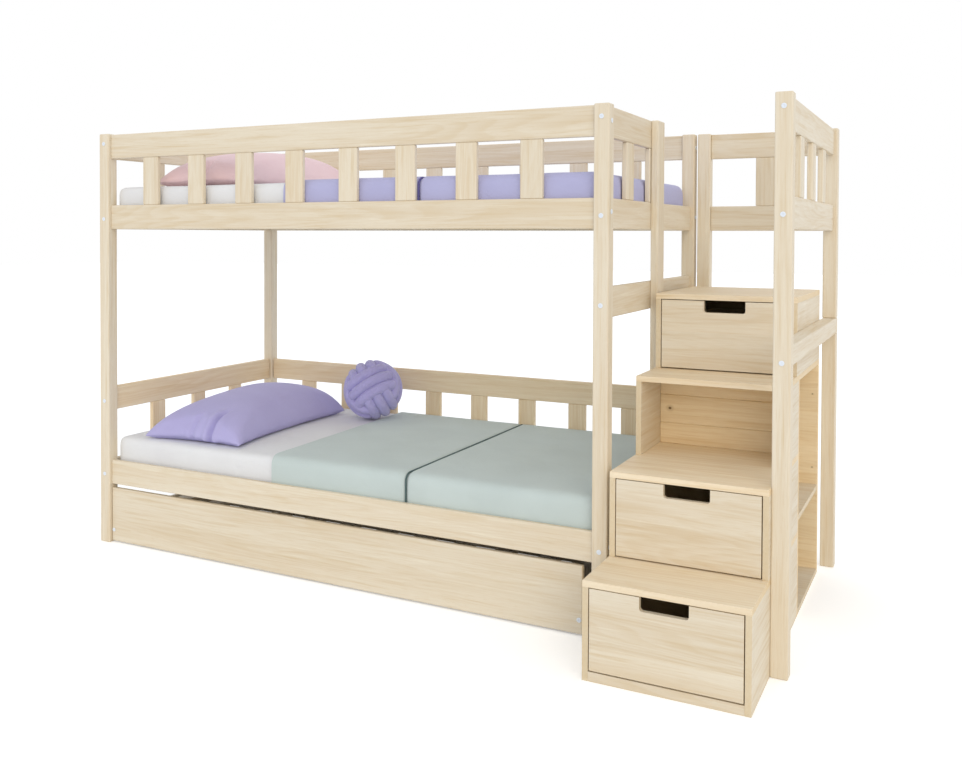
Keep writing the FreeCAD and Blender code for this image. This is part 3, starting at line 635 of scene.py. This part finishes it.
def makeCover(name, node, onto, material, starts, stop=None, rolled=(), trim=()):
    # a fitted bedcover: the mattress's form a little larger, cut at its hems. starts are its
    # left edge at the front and at the back, stop is its right edge, or none where it goes on
    # down the mattress's end, rolled are the edges that turn down at a neighbour, and trim is
    # the dark piping that goes with it, coloured as a painted shadow line in the seam
    look = coverLook
    lift = Vector((look["lift"],) * 3)
    under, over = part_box(onto)
    corner, edge = mattressLook["planCorner"], mattressLook["edge"]
    made = roundedSlab(under - lift, over + lift, corner + lift.x, edge + lift.x, look["voxel"])
    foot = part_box(node)[0].z
    cut = bmesh.new()
    cut.from_mesh(made.data)
    slant = Vector((starts[1] - starts[0], over.y - under.y, 0))
    cutAway(cut, (starts[0], under.y, 0), Vector((-slant.y, slant.x, 0)))
    if stop is not None:
        cutAway(cut, (stop, 0, 0), (1, 0, 0))
    cutAway(cut, (0, 0, foot), (0, 0, -1))
    for x, inward in rolled:
        for step in look["rollLines"]:
            addLine(cut, x + inward * step)
    bmesh.ops.remove_doubles(cut, verts=cut.verts[:], dist=0.0007)
    cut.normal_update()
    cut.to_mesh(made.data)
    cut.free()
    made.name = name
    points = getPoints(made)
    normals = np.array([vertex.normal for vertex in made.data.vertices])
    top = smoothStep(over.z - edge, over.z, points[:, 2])
    wave = np.array([noise.noise(Vector((p[0] / look["rippleSize"], p[1] / look["rippleSize"],
                                         p[2] * 4))) for p in points])
    fine = np.array([noise.noise(Vector((p[0] * 12, p[1] * 5 + p[0] * 5, 7.7))) for p in points])
    points[:, 2] += look["ripple"] * (wave + 0.4 * fine) * top
    for x, inward in rolled:
        near = np.abs(points[:, 0] - x) / look["rollWidth"]
        points -= normals * (look["rollDepth"] * np.exp(-near ** 1.6))[:, None]
    setPoints(made, points)
    thick = made.modifiers.new("cloth", "SOLIDIFY")
    thick.thickness = look["thickness"]
    thick.offset = 1.0
    bakeModifiers(made)
    made.data.set_sharp_from_angle(angle=math.radians(48))
    made.data.materials.clear()
    made.data.materials.append(material)
    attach(made, "bed")
    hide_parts(node)
    hems = [(starts[0] + look["hemWidth"], starts[1] + look["hemWidth"])]
    if stop is not None:
        hems.append((stop - look["hemWidth"],) * 2)
    seams = list(trim)
    for count, hem in enumerate(hems):
        seams.append(sewHem("%sStitches%d" % (name, count + 1), made, hem, under, over, foot,
                            material))
    return made


class NodeTree:
    # a Geometry Nodes tree with named inputs, built and set on a piece by script
    def __init__(self, name):
        self.tree = bpy.data.node_groups.new(name, "GeometryNodeTree")
        self.names = {}
        self.input("Geometry", "NodeSocketGeometry")
        self.tree.interface.new_socket("Geometry", in_out="OUTPUT",
                                       socket_type="NodeSocketGeometry")
        self.given = self.tree.nodes.new("NodeGroupInput").outputs
        self.out = self.tree.nodes.new("NodeGroupOutput")

    def input(self, name, kind):
        made = self.tree.interface.new_socket(name, in_out="INPUT", socket_type=kind)
        self.names[name] = made.identifier

    def add(self, kind, settings=None, **inputs):
        made = self.tree.nodes.new(kind)
        for key, value in (settings or {}).items():
            setattr(made, key, value)
        for key, value in inputs.items():
            slot = made.inputs[int(key[1:]) if key[0] == "i" and key[1:].isdigit()
                               else key.replace("_", " ")]
            if isinstance(value, bpy.types.NodeSocket):
                self.tree.links.new(value, slot)
            else:
                slot.default_value = value
        return made

    def end(self, geometry):
        # real geometry with its material, which is what the export keeps
        real = self.add("GeometryNodeRealizeInstances", Geometry=geometry)
        painted = self.add("GeometryNodeSetMaterial", Geometry=real.outputs[0],
                           Material=self.given["Material"])
        self.tree.links.new(painted.outputs[0], self.out.inputs[0])

    def runOn(self, piece, **values):
        modifier = piece.modifiers.new(self.tree.name, "NODES")
        modifier.node_group = self.tree
        for key, value in values.items():
            modifier[self.names[key]] = value
        return bakeModifiers(piece)


def stitchTree():
    made = NodeTree("stitchRow")
    for name, kind in (("Cloth", "NodeSocketObject"), ("Step", "NodeSocketFloat"),
                       ("Length", "NodeSocketFloat"), ("Radius", "NodeSocketFloat"),
                       ("Seed", "NodeSocketInt"), ("Material", "NodeSocketMaterial")):
        made.input(name, kind)
    given = made.given
    line = made.add("GeometryNodeMeshToCurve", Mesh=given["Geometry"])
    line = made.add("GeometryNodeResampleCurve", {"mode": "LENGTH"}, Curve=line.outputs[0])
    made.tree.links.new(given["Step"], line.inputs["Length"])
    cloth = made.add("GeometryNodeObjectInfo", {"transform_space": "RELATIVE"},
                     Object=given["Cloth"])
    close = made.add("GeometryNodeProximity", {"target_element": "FACES"},
                     i0=cloth.outputs["Geometry"])
    onCloth = made.add("GeometryNodeSetPosition", Geometry=line.outputs[0],
                       Position=close.outputs["Position"])
    rod = made.add("GeometryNodeMeshCylinder", {"fill_type": "TRIANGLE_FAN"}, Vertices=6,
                   Radius=given["Radius"], Depth=given["Length"])
    tangent = made.add("GeometryNodeInputTangent")
    turn = made.add("FunctionNodeAlignRotationToVector", {"axis": "Z"},
                    Vector=tangent.outputs[0])
    jitter = made.add("FunctionNodeRandomValue", {"data_type": "FLOAT"}, Seed=given["Seed"])
    jitter.inputs[2].default_value = 0.88
    jitter.inputs[3].default_value = 1.08
    rows = made.add("GeometryNodeInstanceOnPoints", Points=onCloth.outputs[0],
                    Instance=rod.outputs["Mesh"], Rotation=turn.outputs[0],
                    Scale=jitter.outputs[1])
    made.end(rows.outputs[0])
    return made


def overPath(x0, x1, under, over, foot, reach):
    # a line up the mattress's front, over its top and down its back, reach above its surface
    bend = mattressLook["edge"] + reach
    profile = [(under.y - reach, foot + 0.008)]
    for step in range(9):
        angle = math.pi / 2 * step / 8
        profile.append((under.y - reach + bend * (1 - math.cos(angle)),
                        over.z + reach - bend * (1 - math.sin(angle))))
    middle = (under.y + over.y) / 2
    profile += [(2 * middle - y, z) for y, z in reversed(profile)]
    dense = []
    for (y0, z0), (y1, z1) in zip(profile, profile[1:]):
        pieces = max(1, int(math.hypot(y1 - y0, z1 - z0) / 0.02))
        dense += [(y0 + (y1 - y0) * i / pieces, z0 + (z1 - z0) * i / pieces)
                  for i in range(pieces)]
    dense.append(profile[-1])
    span = over.y - under.y
    return [(x0 + (x1 - x0) * (y - under.y) / span, y, z) for y, z in dense]


def lineObject(name, points):
    mesh = bpy.data.meshes.new(name)
    mesh.from_pydata(points, [(i, i + 1) for i in range(len(points) - 1)], [])
    return newObject(name, mesh)


def sewHem(name, cloth, hem, under, over, foot, material):
    look = coverLook
    path = overPath(*hem, under, over, foot, look["lift"] + look["thickness"])
    made = lineObject(name, path)
    stitches.runOn(made, Cloth=cloth, Step=look["stitchStep"], Length=look["stitchLength"],
                   Radius=look["stitchRadius"], Seed=7, Material=material)
    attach(made, "bed")
    return made


def makeShadowPiping(name, x, onto, node, material):
    # a corded seam between a cover's two pieces, coloured dark as a painted shadow line
    look = coverLook
    under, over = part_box(onto)
    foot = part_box(node)[0].z
    made = lineObject(name, overPath(x, x, under, over, foot, look["pipingRise"]))
    strands.runOn(made, Radius=look["pipingRadius"], Around=12, Lumps=0.0002, Seed=5.0,
                  Material=material)
    faceOut(made)
    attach(made, "bed")
    return made


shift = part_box("post_front_left")[0]   # the bed's own corner, from which places are measured


knotLook = {
    "strand": 0.0232, "pitch": 0.0412,             # a strand's radius, and the step to the next
    "dive": 0.029, "diveFrom": 50, "diveTo": 70,   # how deep it goes under, from which degree on
    "around": 20, "steps": 132, "lumps": 0.0011,
    "face": (0.356, -0.845, 0.400),                # out of the middle strands that show in front
    "lay": (0.702, 0.518, 0.488),                  # the way that those run
}


def strandTree():
    made = NodeTree("knotStrand")
    for name, kind in (("Radius", "NodeSocketFloat"), ("Around", "NodeSocketInt"),
                       ("Lumps", "NodeSocketFloat"), ("Seed", "NodeSocketFloat"),
                       ("Material", "NodeSocketMaterial")):
        made.input(name, kind)
    given = made.given
    line = made.add("GeometryNodeMeshToCurve", Mesh=given["Geometry"])
    ring = made.add("GeometryNodeCurvePrimitiveCircle", Resolution=given["Around"])
    made.tree.links.new(given["Radius"], ring.inputs["Radius"])
    tube = made.add("GeometryNodeCurveToMesh", Curve=line.outputs[0],
                    Profile_Curve=ring.outputs[0], Fill_Caps=True)
    lumps = made.add("ShaderNodeTexNoise", {"noise_dimensions": "4D"}, W=given["Seed"],
                     Scale=38.0, Detail=2.0)
    level = made.add("ShaderNodeMath", {"operation": "MULTIPLY_ADD"}, i0=lumps.outputs["Fac"],
                     i1=2.0, i2=-1.0)
    size = made.add("ShaderNodeMath", {"operation": "MULTIPLY"}, i0=level.outputs[0],
                    i1=given["Lumps"])
    normal = made.add("GeometryNodeInputNormal")
    push = made.add("ShaderNodeVectorMath", {"operation": "SCALE"}, i0=normal.outputs[0],
                    Scale=size.outputs[0])
    moved = made.add("GeometryNodeSetPosition", Geometry=tube.outputs[0], Offset=push.outputs[0])
    made.end(moved.outputs[0])
    return made


def makeKnot():
    # a ball knotted from one stuffed tube: three strands side by side on each face, going
    # under those of the faces at their ends
    look = knotLook
    low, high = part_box("knot_cushion")
    middle = (low + high) / 2
    radius = (high.x - low.x) / 2
    face = Vector(look["face"]).normalized()
    side = face.cross(Vector(look["lay"])).normalized()
    lay = side.cross(face)
    points, edges = [], []
    for over, under, axis in ((face, lay, side), (lay, side, face), (side, face, lay)):
        for strand in (-1, 0, 1):
            offset = strand * look["pitch"]
            first = len(points)
            for step in range(look["steps"]):
                angle = 2 * math.pi * step / look["steps"]
                fold = math.degrees(math.acos(min(1.0, abs(math.cos(angle)))))
                dive = float(smoothStep(look["diveFrom"], look["diveTo"], fold)) * look["dive"]
                reach = radius - look["strand"] - dive
                ring = math.sqrt(max(reach ** 2 - offset ** 2, 0.02 ** 2))
                spot = over * math.cos(angle) + under * math.sin(angle)
                points.append(middle + spot * ring + axis * offset)
                edges.append((first + step, first + (step + 1) % look["steps"]))
    mesh = bpy.data.meshes.new("knotStrands")
    mesh.from_pydata([tuple(p) for p in points], edges, [])
    made = newObject("knotStrands", mesh)
    strands.runOn(made, Radius=look["strand"], Around=look["around"], Lumps=look["lumps"],
                  Seed=3.0, Material=lavenderPlush)
    shaped = getPoints(made)
    centre = np.array(middle)
    away = shaped - centre
    far = np.linalg.norm(away, axis=1, keepdims=True)
    # nothing stands out of the ball, and its foot rests flat
    shaped = centre + away * np.minimum(1, (radius - 0.0005) / far)
    shaped[:, 2] = np.maximum(shaped[:, 2], low.z + 0.0003)
    setPoints(made, shaped)
    finer = made.modifiers.new("finer", "SUBSURF")
    finer.levels = finer.render_levels = 1
    bakeModifiers(made)
    faceOut(made)
    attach(made, "bed")
    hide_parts("knot_cushion")
    return made


def faceOut(piece):
    # all faces of a closed form point outwards
    form = bmesh.new()
    form.from_mesh(piece.data)
    bmesh.ops.recalc_face_normals(form, faces=form.faces[:])
    form.to_mesh(piece.data)
    form.free()


beddingLook = {
    # from the bed's own corner, in metres: where each cover starts at the front and at the
    # back, and the edges of the upper cover's two pieces
    "upperStart": (0.868, 0.866), "lowerStart": (0.815, 0.790), "upperSplit": (1.414, 1.417),
    # on a pillow, from its middle
    "creases": [
        {"from": (-0.010, -0.415), "to": (0.004, -0.300), "depth": 0.007, "width": 0.009},
        {"from": (0.076, -0.415), "to": (0.093, -0.255), "depth": 0.021, "width": 0.010},
    ],
}
stitches = stitchTree()
strands = strandTree()
upperStart, lowerStart, upperSplit = (tuple(shift.x + x for x in beddingLook[key])
                                      for key in ("upperStart", "lowerStart", "upperSplit"))
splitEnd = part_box("lower_blanket_head")[1].x
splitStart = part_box("lower_blanket_foot")[0].x
makeMattress("upper_mattress", sum(upperSplit) / 2)
makeMattress("lower_mattress", (splitEnd + splitStart) / 2)
print("mattresses made")
makePillow("lower_pillow", lavenderCotton, beddingLook["creases"])
makePillow("upper_pillow", pinkCotton, beddingLook["creases"][:1])
print("pillows made")
upperPiping = makeShadowPiping("upperPiping", sum(upperSplit) / 2, "upper_mattress", "upper_blanket",
                         lavenderShadowPiping)
makeCover("upperCoverHead", "upper_blanket", "upper_mattress", lavenderCover,
          upperStart, upperSplit[0], ((upperSplit[0], -1),),
          (upperPiping,))
makeCover("upperCoverFoot", "upper_blanket", "upper_mattress", lavenderCover,
          (upperSplit[1], upperSplit[1]), None, ((upperSplit[1], 1),))
lowerPiping = makeShadowPiping("lowerPiping", (splitEnd + splitStart) / 2, "lower_mattress",
                         "lower_blanket_head", sageShadowPiping)
makeCover("lowerCoverHead", "lower_blanket_head", "lower_mattress", sageCotton,
          lowerStart, splitEnd, ((splitEnd, -1),), (lowerPiping,))
makeCover("lowerCoverFoot", "lower_blanket_foot", "lower_mattress", sageCotton,
          (splitStart, splitStart), None, ((splitStart, 1),))
makeKnot()
print("covers and knotted ball made")


cameraLook = {
    "spot": (3.0124, -2.8598, 1.2185),  # from the bed's own corner, in metres
    "yaw": 28.40, "pitch": -1.129, "roll": 0.155, "lens": 37.41, "shiftX": 0.0570,
    "shiftY": -0.1336,
}


def makeCamera():
    look = cameraLook
    data = bpy.data.cameras.new("camera")
    camera = newObject("camera", data)
    data.sensor_width = 36.0
    data.sensor_fit = "HORIZONTAL"
    data.lens = look["lens"]
    data.shift_x = look["shiftX"]
    data.shift_y = look["shiftY"]
    data.clip_end = 100.0
    turn = (Matrix.Rotation(math.radians(look["yaw"]), 4, "Z")
            @ Matrix.Rotation(math.radians(90 + look["pitch"]), 4, "X")
            @ Matrix.Rotation(math.radians(look["roll"]), 4, "Z"))
    corner = Vector((shift.x, shift.y, 0))
    camera.matrix_world = Matrix.Translation(corner + Vector(look["spot"])) @ turn
    scene.camera = camera


stageLook = {
    "floorSize": 30.0, "floor": linear(246, 246, 246), "floorGlow": 0.30,
    "room": (0.92, 0.955, 1.0, 1), "roomLevel": 0.89,
    "backdrop": (1, 1, 1, 1), "backdropLevel": 1.0,   # only the camera and reflections see it
}


def makeStage():
    look = stageLook
    size = look["floorSize"]
    floor = meshFrom("floor", [(-size, -size, 0), (size, -size, 0), (size, size, 0),
                               (-size, size, 0)], [(0, 1, 2, 3)], smooth=False)
    shade = Shader("floorPaper")
    shade.surface.inputs["Base Color"].default_value = look["floor"]
    shade.surface.inputs["Roughness"].default_value = 0.9
    shade.surface.inputs["Specular IOR Level"].default_value = 0.0
    shade.surface.inputs["Emission Color"].default_value = (1, 1, 1, 1)
    path = shade.add("ShaderNodeLightPath").outputs
    seen = shade.math("MAXIMUM", path["Is Camera Ray"], path["Is Glossy Ray"])
    seen = shade.math("MAXIMUM", seen, path["Is Transmission Ray"])
    shade.put(shade.surface, "Emission Strength", shade.math("MULTIPLY", seen, look["floorGlow"]))
    floor.data.materials.append(shade.material)
    world = bpy.data.worlds.new("studio")
    world.use_nodes = True
    scene.world = world
    tree = world.node_tree
    tree.nodes.clear()
    path = tree.nodes.new("ShaderNodeLightPath")
    shown = tree.nodes.new("ShaderNodeMath")
    shown.operation = "MAXIMUM"
    shone = tree.nodes.new("ShaderNodeMath")
    shone.operation = "MAXIMUM"
    tree.links.new(path.outputs["Is Camera Ray"], shone.inputs[0])
    tree.links.new(path.outputs["Is Glossy Ray"], shone.inputs[1])
    tree.links.new(shone.outputs[0], shown.inputs[0])
    tree.links.new(path.outputs["Is Transmission Ray"], shown.inputs[1])
    backdrop = tree.nodes.new("ShaderNodeBackground")
    backdrop.inputs["Color"].default_value = look["backdrop"]
    backdrop.inputs["Strength"].default_value = look["backdropLevel"]
    room = tree.nodes.new("ShaderNodeBackground")
    room.inputs["Color"].default_value = look["room"]
    room.inputs["Strength"].default_value = look["roomLevel"]
    either = tree.nodes.new("ShaderNodeMixShader")
    out = tree.nodes.new("ShaderNodeOutputWorld")
    tree.links.new(shown.outputs[0], either.inputs[0])
    tree.links.new(room.outputs[0], either.inputs[1])
    tree.links.new(backdrop.outputs[0], either.inputs[2])
    tree.links.new(either.outputs[0], out.inputs[0])


lampLook = {"toward": (-0.50, 0.75, -0.42), "strength": 0.88, "softness": 45,
            "colour": (1.0, 0.89, 0.70)}


def makeLamp():
    look = lampLook
    data = bpy.data.lights.new("key", "SUN")
    data.energy = look["strength"]
    data.angle = math.radians(look["softness"])
    data.color = look["colour"]
    lamp = newObject("key", data)
    lamp.rotation_euler = Vector(look["toward"]).to_track_quat("-Z", "Y").to_euler()


makeCamera()
makeStage()
makeLamp()
print("camera, floor and light set")
